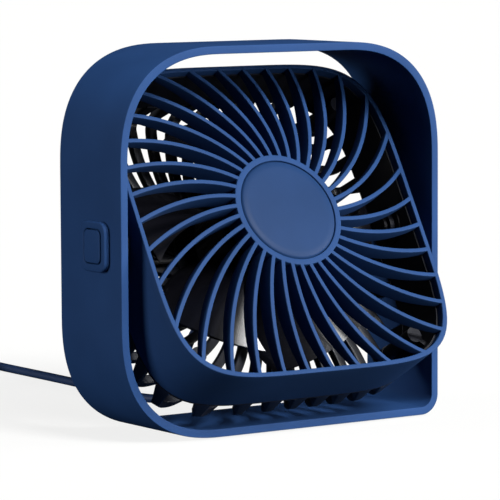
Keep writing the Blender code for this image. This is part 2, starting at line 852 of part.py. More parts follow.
def bearings():
    for name, middle in (("front", -0.0158), ("rear", -0.0330)):
        washer(
            f"bearing_{name}",
            BEARING_RADIUS,
            BEARING_BORE,
            middle - BEARING_WIDTH / 2,
            middle + BEARING_WIDTH / 2,
            STEEL,
            FRONT,
            24,
        )


def stator_core():
    """A laminated core with four T-shaped poles round the bearing tube."""
    outline = []
    for pole in range(POLES):
        middle = 2 * math.pi * pole / POLES
        stem = 0.0022 / CORE_HUB
        for side in (-1, 1):
            turn = [
                (CORE_HUB + 0.0026, middle + side * stem * 0.62),
                (CORE_RADIUS - 0.0022, middle + side * 0.0022 / (CORE_RADIUS - 0.0022)),
                (CORE_RADIUS - 0.0016, middle + side * math.radians(36)),
                (CORE_RADIUS, middle + side * math.radians(38)),
                (CORE_RADIUS, middle + side * math.radians(19)),
            ]
            turn = turn if side < 0 else list(reversed(turn))
            outline += [(r * math.cos(a), r * math.sin(a)) for r, a in turn]
            if side < 0:
                outline.append((CORE_RADIUS * math.cos(middle), CORE_RADIUS * math.sin(middle)))
    hole_radius = TUBE_RADIUS + TOUCH
    hole = circle(hole_radius, 24)
    return plate_with_windows("stator_core", outline, [hole], -CORE_BACK, -CORE_FRONT, STEEL, FRONT)


def stator_coils():
    """One winding round the stem of each pole."""
    low, high = CORE_HUB + 0.0030, CORE_RADIUS - 0.0032
    for pole in range(POLES):
        loops = []
        for reach, radius in ((TOUCH, low), (TOUCH + 0.0014, low), (TOUCH + 0.0014, high), (TOUCH, high)):
            half_width = 0.0023 + reach
            half_depth = (CORE_BACK - CORE_FRONT) / 2 + reach
            outline = rounded_square(2 * half_width, 2 * half_depth, (0.0006,) * 4, 2.0, 2)
            middle = -(CORE_FRONT + CORE_BACK) / 2
            loops.append([(radius, across, middle + along) for across, along in outline])
        coil = ring_of_loops(f"stator_coil_{pole + 1}", loops, COPPER, FRONT)
        coil.rotation_euler = (0, 0, 2 * math.pi * pole / POLES)


def motor_board():
    washer(
        "motor_board",
        BOARD_RADIUS,
        TUBE_RADIUS + TOUCH,
        -0.0318,
        -0.0318 + BOARD_THICKNESS,
        BOARD,
        FRONT,
        32,
    )


def rotor_parts():
    """Steel cup, magnet ring, shaft and the clip that keeps the shaft in."""
    inner = CUP_RADIUS - CUP_WALL
    cup = [
        (SHAFT_RADIUS + TOUCH, -CUP_FRONT),
        (SHAFT_RADIUS + TOUCH, -CUP_FRONT - CUP_WALL),
        (inner, -CUP_FRONT - CUP_WALL),
        (inner, -CUP_BACK),
        (CUP_RADIUS, -CUP_BACK),
        (CUP_RADIUS, -CUP_FRONT),
    ]
    turned("rotor_cup", cup, STEEL, FRONT, 36)
    outer = inner - TOUCH
    washer("magnet_ring", outer, outer - MAGNET_WALL, -0.0270, -0.0138, FERRITE, FRONT, 36)
    shaft = [(0, -0.0362), (SHAFT_RADIUS, -0.0362), (SHAFT_RADIUS, -0.0098), (0, -0.0098)]
    turned("motor_shaft", shaft, STEEL, FRONT, 16)
    clip = SHAFT_RADIUS + TOUCH / 2
    washer("shaft_clip", 0.0030, clip, -0.0352, -0.0346, STEEL, FRONT, 20)


def blade(index):
    """One swept, twisted blade as a lofted solid."""
    stations, chords = 6, 6
    root = HUB_RADIUS - 0.0012
    front, back = [], []
    for station in range(stations + 1):
        share = station / stations
        radius = root + (BLADE_TIP - root) * share
        span = BLADE_SPAN * (0.86 + 0.26 * share - 0.12 * share**3)
        lead = BLADE_PHASE + 2 * math.pi * index / BLADES + BLADE_SWEEP * share**1.5
        rise = (BLADE_BACK - BLADE_FRONT) * (1 - 0.22 * share)
        rows = ([], [])
        for chord in range(chords + 1):
            along = chord / chords
            angle = lead + span * (along - 0.5)
            camber = 0.0022 * math.sin(math.pi * along)
            depth = (BLADE_FRONT + BLADE_BACK) / 2 - rise * (along - 0.5) - camber
            thick = BLADE_THICKNESS * (0.45 + 0.55 * math.sin(math.pi * along)) / 2
            for row, side in zip(rows, (1, -1)):
                place = (radius * math.cos(angle), radius * math.sin(angle))
                row.append((*place, -depth + side * thick))
        front.append(rows[0])
        back.append(rows[1])
    return front, back


def edge_of(rows):
    """The corners round the outside of a grid of rows."""
    near_tip = [row[-1] for row in rows[1:]]
    near_root = [row[0] for row in rows[-2:0:-1]]
    return rows[0] + near_tip + rows[-1][-2::-1] + near_root


def blade_set():
    """All the blades as one cutter for a union with the hub."""
    shape = bmesh.new()
    for index in range(BLADES):
        front, back = blade(index)
        top = [[shape.verts.new(point) for point in row] for row in front]
        under = [[shape.verts.new(point) for point in row] for row in back]
        for a, b in zip(range(len(top) - 1), range(1, len(top))):
            for c, d in zip(range(len(top[0]) - 1), range(1, len(top[0]))):
                shape.faces.new((top[a][c], top[b][c], top[b][d], top[a][d]))
                shape.faces.new((under[a][c], under[a][d], under[b][d], under[b][c]))
        rim_top, rim_under = edge_of(top), edge_of(under)
        for a in range(len(rim_top)):
            b = (a + 1) % len(rim_top)
            shape.faces.new((rim_top[a], rim_top[b], rim_under[b], rim_under[a]))
    bmesh.ops.triangulate(shape, faces=shape.faces)
    return finish("blade_set", shape, BLADE, FRONT)


def impeller():
    """A cup-shaped hub with blades round it."""
    bore = CUP_RADIUS + TOUCH
    profile = [
        (0, -HUB_FRONT + 0.0006),
        (HUB_RADIUS - 0.003, -HUB_FRONT),
        (HUB_RADIUS - 0.0008, -HUB_FRONT - 0.0010),
        (HUB_RADIUS, -HUB_FRONT - 0.0034),
        (HUB_RADIUS, -HUB_BACK),
        (bore, -HUB_BACK),
        (bore, -CUP_FRONT + TOUCH),
        (SHAFT_RADIUS + 0.0012, -CUP_FRONT + TOUCH),
        (SHAFT_RADIUS + 0.0012, -0.0098 + TOUCH),
        (0, -0.0098 + TOUCH),
    ]
    hub = turned("impeller", profile, BLADE, FRONT, 40)
    return cut(hub, blade_set(), "UNION")


# ---------------------------------------------------------------- leads


def strain_relief():
    """The tapered sleeve where the lead leaves the rear hub cover."""
    start = HEAD_DEPTH + 0.0012 + TOUCH + HUB_COVER_THICKNESS + TOUCH
    end = start + RELIEF_LENGTH
    profile = [
        (0, -end),
        (RELIEF_TIP, -end),
        (RELIEF_BASE, -start - 0.003),
        (RELIEF_BASE + 0.0016, -start - 0.0014),
        (RELIEF_BASE + 0.0016, -start),
        (0, -start),
    ]
    relief = turned("strain_relief", profile, RUBBER, FRONT, 20)
    relief.location = (0, -RELIEF_DROP, 0)
    return relief


def inner_lead():
    """Wires from the hollow left pivot, behind the blades, to the motor base."""
    side = HEAD_HALF - SHELL_WALL
    points = [
        (-BOSS_END + 0.0012, 0, -HEAD_FRONT),
        (-side + 0.0078, 0, -HEAD_FRONT - 0.004),
        (-side + 0.0046, 0, -HEAD_FRONT - 0.011),
        (-side + 0.0056, 0, -0.0330),
        (-side + 0.0110, 0, -0.0352),
        (-0.0400, 0, -0.0354),
        (-0.0270, 0, -0.0356),
        (-REAR_HUB - 0.0022, 0, -0.0360),
    ]
    return tube("inner_lead", smooth_route(points, 0.004), 0.0008, RUBBER, 1, FRONT)


def cord_pieces():
    """The lead's drop to the table, its run behind the fan and the coil."""
    route = smooth_route(CORD_ROUTE, CORD_STEP)
    split = DROP_POINTS
    shift = (route[split + 1] - route[split]).normalized() * TOUCH
    tube("cord_drop", route[: split + 1], CORD / 2, NAVY)
    tube("cord_run", [route[split] + shift, *route[split + 1 :]], CORD / 2, NAVY)
    section = rounded_square(2 * COIL_HALF_WIDTH, COIL_HEIGHT, (0.0024,) * 4, 2.0, 3)
    middle = COIL_LIFT + COIL_HEIGHT / 2
    profile = [(COIL_RING + across, up + middle) for across, up in section]
    coil = turned("cord_coil", profile, NAVY, None, 40)
    coil.location = (*COIL_MIDDLE, 0)
    loops = []
    for gap, side in ((TOUCH, -1), (TOUCH, 1), (COIL_LIFT, 1), (COIL_LIFT, -1)):
        width = 2 * (COIL_HALF_WIDTH + gap)
        height = COIL_HEIGHT + 2 * gap
        outline = rounded_square(width, height, (0.0024 + gap,) * 4, 2.0, 3)
        loops.append([(x - COIL_RING, side * 0.0021, z + middle) for x, z in outline])
    tie = ring_of_loops("cord_tie", loops, RUBBER)
    tie.location = (*COIL_MIDDLE, 0)
    tie.rotation_euler = (0, 0, math.radians(-100))


def usb_plug():
    """The lead's tail and the plug it ends in, lying beside the coil."""
    line = empty("plug_line", (TAIL_START, TAIL_Y, TAIL_Z), (0, -math.pi / 2, 0))
    tail = [(0, 0, TAIL_LENGTH * step / 3) for step in range(4)]
    tube("cord_tail", tail, CORD / 2, NAVY, 2, line)
    start = TAIL_LENGTH + TOUCH
    end = start + PLUG_RELIEF
    sleeve = [(0, start), (RELIEF_TIP, start), (RELIEF_BASE, end), (0, end)]
    turned("plug_relief", sleeve, RUBBER, line, 16)
    start = end + TOUCH
    end = start + PLUG_BODY[0]
    outline = rounded_square(PLUG_BODY[2], PLUG_BODY[1], (0.002,) * 4, 2.0, 3)
    prism("usb_plug_body", outline, start, end, RUBBER, line)
    start = end + TOUCH
    end = start + PLUG_METAL[0]
    outline = rounded_square(PLUG_METAL[2], PLUG_METAL[1], (0.0005,) * 4, 2.0, 1)
    shell = prism("usb_plug_shell", outline, start, end, STEEL, line)
    inner = rounded_square(PLUG_METAL[2] - 0.0008, PLUG_METAL[1] - 0.0008, (0.0003,) * 4, 2.0, 1)
    cut(shell, prism("plug_hollow", inner, start + 0.002, end + 0.002, STEEL, line))
    tongue_low = start + 0.002 + TOUCH
    tongue = [(0.0001, -0.0051), (0.0018, -0.0051), (0.0018, 0.0051), (0.0001, 0.0051)]
    prism("usb_plug_tongue", tongue, tongue_low, end - 0.0006, NYLON, line)


stand_frame()
foot_pad()
side_bezel("button_bezel", LEFT, False)
side_bezel("pivot_cover", RIGHT, True)
speed_button()
switch_parts()
switch_pod()
pivot_pin()
friction_parts()
head_shell()
front_grille()
centre_cap()
rear_grille()
rear_hub_cover()
housing_screws()
motor_base()
bearings()
stator_core()
stator_coils()
motor_board()
rotor_parts()
impeller()
strain_relief()
inner_lead()
cord_pieces()
usb_plug()
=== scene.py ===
"""Look of the square tilting USB desk fan: finer pieces, materials, light and camera."""

import json
import math

import bmesh
import bpy
from mathutils import Matrix, Vector


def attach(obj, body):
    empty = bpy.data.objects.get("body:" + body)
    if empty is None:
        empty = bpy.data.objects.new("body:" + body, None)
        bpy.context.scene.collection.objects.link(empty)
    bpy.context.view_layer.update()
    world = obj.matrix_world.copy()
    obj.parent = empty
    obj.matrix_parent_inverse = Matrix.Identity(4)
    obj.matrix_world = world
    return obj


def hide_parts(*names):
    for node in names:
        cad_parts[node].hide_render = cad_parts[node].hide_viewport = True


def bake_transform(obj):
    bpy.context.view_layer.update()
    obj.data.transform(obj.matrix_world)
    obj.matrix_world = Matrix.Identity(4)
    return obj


# Shapes in general. A seam keeps two meeting faces out of one plane, and a corner's
# rounding takes up to CORNER_ROOM of its shorter side.
SEAM = 0.00005
AXIS_RADIUS = 0.00001
ARC_POWER = 2.0
CORNER_ROOM = 0.48
ROUND_STEPS = 96
FINE_STEPS = 128
SPIRAL_TRIES = 30
MERGE = 1e-7

# Stand, as in the CAD.
STAND_SIZE = 0.145
STAND_DEPTH = 0.042
STAND_WALL = 0.003
STAND_CORNER = 0.0445
STAND_CORNER_POWER = 2.5
STAND_CORNER_STEPS = 30
STAND_SMALL_CORNER = 0.0077
STAND_EDGE = 0.0003
PAD_THICKNESS = 0.0005
WALL_OUT = STAND_SIZE / 2
WALL_IN = WALL_OUT - STAND_WALL

# Tilt pivot and the rest tilt of the head.
PIVOT_Y = -0.0046
PIVOT_Z = PAD_THICKNESS + STAND_SIZE / 2
REST_TILT = math.radians(30)

# Collar and button on the left wall, blank cover on the right wall.
COVER_DEPTH = 0.0172
COVER_HEIGHT = 0.0186
COVER_RISE = 0.0022
COVER_INSERT = 0.0017
COVER_CORNER = 0.0042
COVER_CORNER_TAPER = 0.6
COVER_CORNER_STEPS = 10
COVER_EDGE = 0.0007
COVER_TUCK = WALL_IN + 0.0004
COVER_STUD_TOP = WALL_OUT + 0.0006
COVER_STUD_EDGE = 0.0002
LID_STEPS = 4
BUTTON_INSET = 0.0032
BUTTON_GAP = 0.0003
BUTTON_RISE = 0.0024
BUTTON_BASE = WALL_OUT + 0.0008
BUTTON_EDGE = 0.0004

# Head, drawn in its front view: x right, y up, z out of the front.
HEAD_HALF = 0.0636
HEAD_POWER = 5.0
HEAD_FRONT = 0.0164
HEAD_DEPTH = 0.0415
OUTLINE_STEPS = 192
RIM_WIDTH = 0.0018
RIM_DEPTH = 0.0034
RIM_EDGE = 0.0004
SHELL_WALL = 0.0022
SHELL_BACK = 0.026
SHELL_EDGE = 0.0003
SHELL_GAP = 0.00002

# Front grille and the disc in its ring; the disc's rounded edge is (inset, drop) from its face.
FRONT_RIBS = 35
FRONT_FIRST_RIB = math.radians(152)
FRONT_SWEEP = math.radians(410)
FRONT_RIB_WIDTH = 0.0016
FRONT_RIB_EDGE = 0.00028
FRONT_RIB_STEPS = 22
FRONT_RIB_STOP = 0.0001
RING_RADIUS = 0.0228
RING_WALL = 0.0024
DOME_RISE = 0.0055
DOME_POWER = 1.6
CAP_FACE = DOME_RISE + 0.0004
CAP_RADIUS = RING_RADIUS - RING_WALL - 0.0001
CAP_DEPTH = 0.0036
CAP_STEP = 0.0035
CAP_FLANGE = 0.0018
CAP_EDGE = [(0.0, 0.0012), (0.0004, 0.0006), (0.0009, 0.0002)]
CAP_CROWN = 0.0003
CAP_CROWN_DROP = 0.0005
CAP_CROWN_STEPS = 8

# Rear grille.
REAR_RIBS = 36
REAR_FIRST_RIB = math.radians(7.9)
REAR_SWEEP = math.radians(-590)
REAR_RIB_WIDTH = 0.0037
REAR_RIB_FOOT = 0.0062
REAR_RIB_EDGE = 0.0006
REAR_RIB_STEPS = 40
REAR_RIB_CROWDING = 1.7
REAR_RIB_ROOT = 0.001
REAR_SIDE_STEPS = 6
REAR_SIDE_STOP = 0.0004
REAR_FOOT_TURN = math.radians(-1.8)
REAR_FOOT_END = 0.0355
REAR_WALL = 0.0034
REAR_EDGE = 0.0060
REAR_CROWN = 0.0012
REAR_CROWN_REACH = 0.06
REAR_SIDE_SHARE = 0.999
REAR_FRONT = -SHELL_BACK - 0.0001
REAR_RING_DEPTH = 0.0009
REAR_RING_WIDTH = 0.0028
REAR_RING_EDGE = 0.0004
REAR_HUB = 0.0235
REAR_HUB_LIP = 0.0008
REAR_HUB_WIDTH = 0.003
REAR_HUB_EDGE = 0.0004
# A thin black sheet along the inside of the head's side wall is painted shade; these are its thickness and
# its front edge.
SHADE_SHEET = 0.0006
SHADE_SHEET_FRONT = -RIM_DEPTH - 0.0002

# Screw bosses inside the corners of the head, with webs to the corners.
SCREW_PLACE = 0.0492
SCREW_BOSS = 0.0031
BOSS_LENGTH = 0.0180
BOSS_STEPS = 24
EAR_RADIUS = 0.0034
EAR_THICKNESS = 0.0030
WEB_THICKNESS = 0.0018
WEB_START = 0.0022
WEB_LOW = 0.0003
WEB_HIGH = 0.0004

# Impeller. The blades widen outwards, flatten towards the tip and thin out to their edges.
BLADES = 6
BLADE_TIP = 0.0512
BLADE_ROOT = 0.0012
BLADE_THICKNESS = 0.0013
BLADE_THIN_EDGE = 0.3
BLADE_SPAN = math.radians(44)
BLADE_ROOT_SPAN = 0.86
BLADE_WIDENING = 0.26
BLADE_TIP_TRIM = 0.12
BLADE_SWEEP = math.radians(22)
BLADE_SWEEP_POWER = 1.5
BLADE_FLATTENING = 0.22
BLADE_CAMBER = 0.0022
BLADE_FRONT = 0.0108
BLADE_BACK = 0.0318
BLADE_PHASE = math.radians(27)
BLADE_STATIONS = 14
BLADE_CHORDS = 16
HUB_RADIUS = 0.0215
HUB_FRONT = 0.0085
HUB_BACK = 0.0300
HUB_BORE = 0.0184
HUB_FLOOR = 0.0102
HUB_EDGE = 0.0018
HUB_CROWN = 0.0006
HUB_CROWN_STOP = 0.003
SHAFT_POCKET = 0.0028
SHAFT_POCKET_END = 0.0095

# Lead: drop, run, coil and tail.
CORD = 0.0035
CORD_SIDES = 14
CORD_SPACING = 0.0026
CORD_FLOOR = CORD / 2 + 0.0001
CORD_ROUTE = [
    (0.0, 0.0258, 0.0410),
    (0.0, 0.0303, 0.0385),
    (0.0, 0.0341, 0.0362),
    (0.0, 0.0393, 0.0324),
    (0.0, 0.0438, 0.0270),
    (0.0, 0.0473, 0.0205),
    (0.0, 0.0506, 0.0132),
    (0.0, 0.0546, 0.0074),
    (0.0, 0.0600, 0.0038),
    (-0.0010, 0.0670, 0.0023),
    (-0.0022, 0.0760, CORD_FLOOR),
    (-0.0020, 0.0900, CORD_FLOOR),
    (-0.0014, 0.1050, CORD_FLOOR),
    (-0.0008, 0.1250, CORD_FLOOR),
    (-0.0004, 0.1500, CORD_FLOOR),
    (-0.0004, 0.1730, CORD_FLOOR),
    (-0.0003, 0.1880, CORD_FLOOR),
    (0.0006, 0.1990, CORD_FLOOR),
]
ROUTE_STEPS = 16
COIL_MIDDLE = (-0.021, 0.216)
COIL_RADII = (0.02555, 0.02205, 0.01855, 0.01505)
COIL_LAYERS = (0.0027, 0.0064)
COIL_START = math.radians(-20)
COIL_STEPS = 30
COIL_CROSSING = 0.3
TAIL_SHARES = (0.45, 0.75)
TAIL_END = (-0.0530, 0.2405, 0.0040)

# Surface detail that every material has.
GRAIN_DETAIL = 2
BUMP_STRENGTH = 0.6
MOTTLE_SCALE = 45
MOTTLE_DETAIL = 5
MOTTLE_DARK = 0.3
MOTTLE_PALE = 0.7
GLOSS_SPREAD = 0.05

# Floor: what lights the fan from below, and what the camera sees.
FLOOR_SIZE = 60
FLOOR_MIDDLE = (0, 10, 0)
FLOOR_BOUNCE = (0.02, 0.02, 0.02)
FLOOR_PAPER = (0.135, 0.135, 0.133)
FLOOR_GLOW = (0.835, 0.835, 0.83)
FLOOR_ROUGHNESS = 0.9

# Distant lights: name, azimuth, elevation and spread in degrees, power.
LIGHTS = [
    ("front", 55, 9, 22, 2.9),
    ("fill", 14, 8, 16, 1.4),
    ("high", 8, 38, 20, 4.8),
    ("side", -100, 8, 26, 2.0),
]
SKY_STRENGTH = 0.015

# Camera, at the front left and slightly above the fan; it turns right and dips down to look at it.
CAMERA_LENS = 239.1
CAMERA_SENSOR = 36
CAMERA_CLIP = (0.05, 80)
CAMERA_PLACE = (-0.71395, -1.03055, 0.19096)
CAMERA_TURN = math.radians(34.662)
CAMERA_DIP = math.radians(5.653)
CAMERA_ROLL = math.radians(-0.2657)

# Views in which pieces are drawn: the head's front, and each wall from outside.
SEAT = Matrix.Translation((0, PIVOT_Y, PIVOT_Z))
LEANED = SEAT @ Matrix.Rotation(-REST_TILT, 4, "X")
FRONT = LEANED @ Matrix.Translation((0, -HEAD_FRONT, 0)) @ Matrix.Rotation(math.pi / 2, 4, "X")
LEFT = SEAT @ Matrix.Rotation(-math.pi / 2, 4, "Y")
RIGHT = SEAT @ Matrix.Rotation(math.pi / 2, 4, "Y")


# ---------------------------------------------------------------- materials


def link(tree, source, target):
    tree.links.new(source, target)


def moulded(name, colour, roughness, grain=0.00035, relief=0.00002, mottle=0.08, metallic=0.0, level=0.5):
    """A procedural material: fine surface grain, faint mottling and uneven gloss."""
    material = bpy.data.materials.new(name)
    material.use_nodes = True
    tree = material.node_tree
    shader = tree.nodes["Principled BSDF"]
    shader.inputs["Metallic"].default_value = metallic
    shader.inputs["Specular IOR Level"].default_value = level
    place = tree.nodes.new("ShaderNodeTexCoord")
    fine = tree.nodes.new("ShaderNodeTexNoise")
    fine.inputs["Scale"].default_value = 1 / grain
    fine.inputs["Detail"].default_value = GRAIN_DETAIL
    bump = tree.nodes.new("ShaderNodeBump")
    bump.inputs["Distance"].default_value = relief
    bump.inputs["Strength"].default_value = BUMP_STRENGTH
    broad = tree.nodes.new("ShaderNodeTexNoise")
    broad.inputs["Scale"].default_value = MOTTLE_SCALE
    broad.inputs["Detail"].default_value = MOTTLE_DETAIL
    tint = tree.nodes.new("ShaderNodeValToRGB")
    dark, pale = tint.color_ramp.elements
    dark.position = MOTTLE_DARK
    dark.color = (*[part * (1 - mottle) for part in colour], 1)
    pale.position = MOTTLE_PALE
    pale.color = (*[part * (1 + mottle) for part in colour], 1)
    gloss = tree.nodes.new("ShaderNodeMapRange")
    gloss.inputs["To Min"].default_value = roughness - GLOSS_SPREAD
    gloss.inputs["To Max"].default_value = roughness + GLOSS_SPREAD
    link(tree, place.outputs["Object"], fine.inputs["Vector"])
    link(tree, place.outputs["Object"], broad.inputs["Vector"])
    link(tree, fine.outputs["Fac"], bump.inputs["Height"])
    link(tree, bump.outputs["Normal"], shader.inputs["Normal"])
    link(tree, broad.outputs["Fac"], tint.inputs["Fac"])
    link(tree, tint.outputs["Color"], shader.inputs["Base Color"])
    link(tree, broad.outputs["Fac"], gloss.inputs["Value"])
    link(tree, gloss.outputs["Result"], shader.inputs["Roughness"])
    return material


# ---------------------------------------------------------------- outlines


def around(steps):
    """Evenly spaced angles of one full turn."""
    return [2 * math.pi * step / steps for step in range(steps)]


def signed_power(value, power):
    """A power of a number's size, with the number's own sign."""
    return math.copysign(abs(value) ** power, value)


def rounded_square(width, height, corners, steps):
    """Points round a rectangle, counter-clockwise from the right, with a (size, power) per corner."""
    sides = [(1, 1), (-1, 1), (-1, -1), (1, -1)]
    points = []
    for quarter, (size, power) in enumerate(corners):
        middle_x = sides[quarter][0] * (width / 2 - size)
        middle_y = sides[quarter][1] * (height / 2 - size)
        for step in range(steps + 1):
            angle = (quarter + step / steps) * math.pi / 2
            x = middle_x + signed_power(math.cos(angle), 2 / power) * size
            y = middle_y + signed_power(math.sin(angle), 2 / power) * size
            points.append((x, y))
    return points


def squircle_reach(half, angle):
    """Distance from the middle of the head's outline to its edge."""
    across, up = abs(math.cos(angle)), abs(math.sin(angle))
    return half / (across**HEAD_POWER + up**HEAD_POWER) ** (1 / HEAD_POWER)


def squircle(half):
    """The head's outline, or the same shape at another size."""
    points = []
    for angle in around(OUTLINE_STEPS):
        reach = squircle_reach(half, angle)
        points.append((reach * math.cos(angle), reach * math.sin(angle)))
    return points


def softened(corners, radius, steps, sharp=()):
    """A closed outline of (a, b) corners, each rounded off except the sharp ones."""
    points = []
    for index, corner in enumerate(corners):
        if index in sharp:
            points.append(corner)
            continue
        here = Vector(corner)
        to_last = Vector(corners[index - 1]) - here
        to_next = Vector(corners[(index + 1) % len(corners)]) - here
        size = min(radius, min(to_last.length, to_next.length) * CORNER_ROOM)
        start = here + to_last.normalized() * size
        end = here + to_next.normalized() * size
        for step in range(steps + 1):
            t = step / steps
            points.append(tuple((1 - t) ** 2 * start + 2 * t * (1 - t) * here + t**2 * end))
    return points


def lifted(outline, height):
    """A flat outline's points at a height."""
    return [(x, y, height) for x, y in outline]


def spiral_end(first, winding, inner, half):
    """Radius at which a spiral that starts at inner meets the head's outline, and its angle there."""
    end = HEAD_HALF
    for _ in range(SPIRAL_TRIES):
        angle = first + winding * (end - inner)
        end = squircle_reach(half, angle)
    return end, angle


# ---------------------------------------------------------------- pieces


def new_piece(name, shape, material, smooth):
    """Turn a bmesh into a named object with its faces pointing out."""
    bmesh.ops.remove_doubles(shape, verts=shape.verts, dist=MERGE)
    bmesh.ops.recalc_face_normals(shape, faces=shape.faces)
    mesh = bpy.data.meshes.new(name)
    shape.to_mesh(mesh)
    shape.free()
    mesh.materials.append(material)
    mesh.shade_smooth()
    mesh.set_sharp_from_angle(angle=math.radians(smooth))
    piece = bpy.data.objects.new(name, mesh)
    bpy.context.scene.collection.objects.link(piece)
    return piece


def show(name, shape, material, body, place=None, smooth=40):
    """Turn a bmesh into a piece that rides on a body."""
    piece = new_piece(name, shape, material, smooth)
    if place is not None:
        piece.matrix_world = place
    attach(piece, body)
    return piece


def stitch(shape, loops, closed=True):
    """Faces between neighbouring loops; closed joins the last loop to the first."""
    rows = [[shape.verts.new(point) for point in loop] for loop in loops]
    pairs = list(zip(rows, rows[1:]))
    if closed:
        pairs.append((rows[-1], rows[0]))
    for row, following in pairs:
        for index in range(len(row)):
            after = (index + 1) % len(row)
            shape.faces.new((row[index], row[after], following[after], following[index]))
    if not closed:
        shape.faces.new(rows[0][::-1])
        shape.faces.new(rows[-1])


def turn(shape, profile, steps):
    """Add a solid turned about Z from (radius, height) corners."""
    loops = []
    for angle in around(steps):
        loops.append([(r * math.cos(angle), r * math.sin(angle), z) for r, z in profile])
    stitch(shape, loops)


def sweep(shape, stations):
    """Add a bar from stations of (middle, side vector, depth vector, section points)."""
    loops = []
    for middle, side, depth, section in stations:
        loops.append([middle + side * a + depth * b for a, b in section])
    stitch(shape, loops, closed=False)


def head_band(shape, section):
    """Add a band round the head's outline from (inset, height) corners."""
    stitch(shape, [lifted(squircle(HEAD_HALF - inset), height) for inset, height in section])


# ---------------------------------------------------------------- stand


def stand_band(material):
    """The flat band bent into a rounded square, with one small corner at the lower right."""
    half = STAND_DEPTH / 2
    corners = [(0, -half), (0, half), (STAND_WALL, half), (STAND_WALL, -half)]
    shape = bmesh.new()
    loops = []
    for inset, y in softened(corners, STAND_EDGE, 5):
        size = STAND_SIZE - 2 * inset
        large = (STAND_CORNER - inset, STAND_CORNER_POWER)
        small = (STAND_SMALL_CORNER - inset, ARC_POWER)
        outline = rounded_square(size, size, (large, large, large, small), STAND_CORNER_STEPS)
        loops.append([(x, y, z + PIVOT_Z) for x, z in outline])
    stitch(shape, loops)
    band = show("stand_band", shape, material, "stand")
    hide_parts("stand_frame")


def cover_outline(inset):
    """The side cover's rounded square; x is up or down and y is depth."""
    width = COVER_HEIGHT - 2 * inset
    depth = COVER_DEPTH - 2 * inset
    corner = (COVER_CORNER - inset * COVER_CORNER_TAPER, ARC_POWER)
    return rounded_square(width, depth, (corner,) * 4, COVER_CORNER_STEPS)


def raised_lid(shape, inset, low, high, edge):
    """Add a solid with the cover's outline and a rounded outer edge."""
    loops = [lifted(cover_outline(inset), low)]
    for step in range(LID_STEPS + 1):
        angle = math.pi / 2 * step / LID_STEPS
        rim = inset + edge * (1 - math.cos(angle))
        loops.append(lifted(cover_outline(rim), high - edge + edge * math.sin(angle)))
    stitch(shape, loops, closed=False)


def button_collar(material):
    """The raised frame round the button, with a sleeve into the wall."""
    opening = BUTTON_INSET - BUTTON_GAP
    corners = [
        (COVER_INSERT, COVER_TUCK),
        (COVER_INSERT, WALL_OUT + SEAM),
        (0.0, WALL_OUT + SEAM),
        (0.0, WALL_OUT + COVER_RISE),
        (opening, WALL_OUT + COVER_RISE),
        (opening, COVER_TUCK),
    ]
    shape = bmesh.new()
    stitch(shape, [lifted(cover_outline(inset), z) for inset, z in softened(corners, COVER_EDGE, 4)])
    collar = show("button_collar", shape, material, "stand", LEFT)
    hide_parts("button_bezel")


def button_key(material):
    """The square button that is pressed into the collar."""
    shape = bmesh.new()
    raised_lid(shape, BUTTON_INSET, BUTTON_BASE, WALL_OUT + BUTTON_RISE, BUTTON_EDGE)
    key = show("button_key", shape, material, "button", LEFT)
    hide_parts("speed_button")


def blank_cover(material):
    """The closed cover on the right wall, with its stud in the wall."""
    shape = bmesh.new()
    raised_lid(shape, 0.0, WALL_OUT + SEAM, WALL_OUT + COVER_RISE, COVER_EDGE)
    raised_lid(shape, COVER_INSERT, COVER_TUCK, COVER_STUD_TOP, COVER_STUD_EDGE)
    blank = show("blank_cover", shape, material, "stand", RIGHT)
    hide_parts("pivot_cover")


# ---------------------------------------------------------------- head, front


def shell_band(material):
    """The smooth side wall of the head, with rounded back edges."""
    front = -RIM_DEPTH - SHELL_GAP
    corners = [(0.0, front), (0.0, -SHELL_BACK), (SHELL_WALL, -SHELL_BACK), (RIM_WIDTH, front)]
    shape = bmesh.new()
    head_band(shape, softened(corners, SHELL_EDGE, 3, sharp=(0, 3)))
    band = show("shell_band", shape, material, "head", FRONT)
    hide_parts("head_shell")


def rib_section(width, depth, edge):
    """A rib's cross-section below its outer face, with rounded corners."""
    corners = [(-width / 2, 0), (width / 2, 0), (width / 2, -depth), (-width / 2, -depth)]
    return softened(corners, edge, 3)


def dome(x, y):
    """How far the front grille stands out of the rim's plane."""
    radius = math.hypot(x, y)
    edge = squircle_reach(HEAD_HALF - RIM_WIDTH, math.atan2(y, x))
    share = min(max((radius - RING_RADIUS) / (edge - RING_RADIUS), 0.0), 1.0)
    return DOME_RISE * (1 - share**DOME_POWER)


def front_rib(first):
    """Sections along one front rib, from inside the ring to inside the rim."""
    start = RING_RADIUS - RING_WALL / 2
    end, _ = spiral_end(first, FRONT_SWEEP, RING_RADIUS, HEAD_HALF - RIM_WIDTH / 2)
    path = []
    for step in range(FRONT_RIB_STEPS + 1):
        radius = start + (end - start) * step / FRONT_RIB_STEPS
        angle = first + FRONT_SWEEP * (radius - RING_RADIUS)
        x, y = radius * math.cos(angle), radius * math.sin(angle)
        path.append(Vector((x, y, dome(x, y) - SEAM)))
    stations = []
    for step, middle in enumerate(path):
        ahead = path[min(step + 1, len(path) - 1)] - path[max(step - 1, 0)]
        side = Vector((-ahead.y, ahead.x, 0)).normalized()
        depth = middle.z + RIM_DEPTH - FRONT_RIB_STOP
        section = rib_section(FRONT_RIB_WIDTH, depth, FRONT_RIB_EDGE)
        stations.append((middle, side, Vector((0, 0, 1)), section))
    return stations


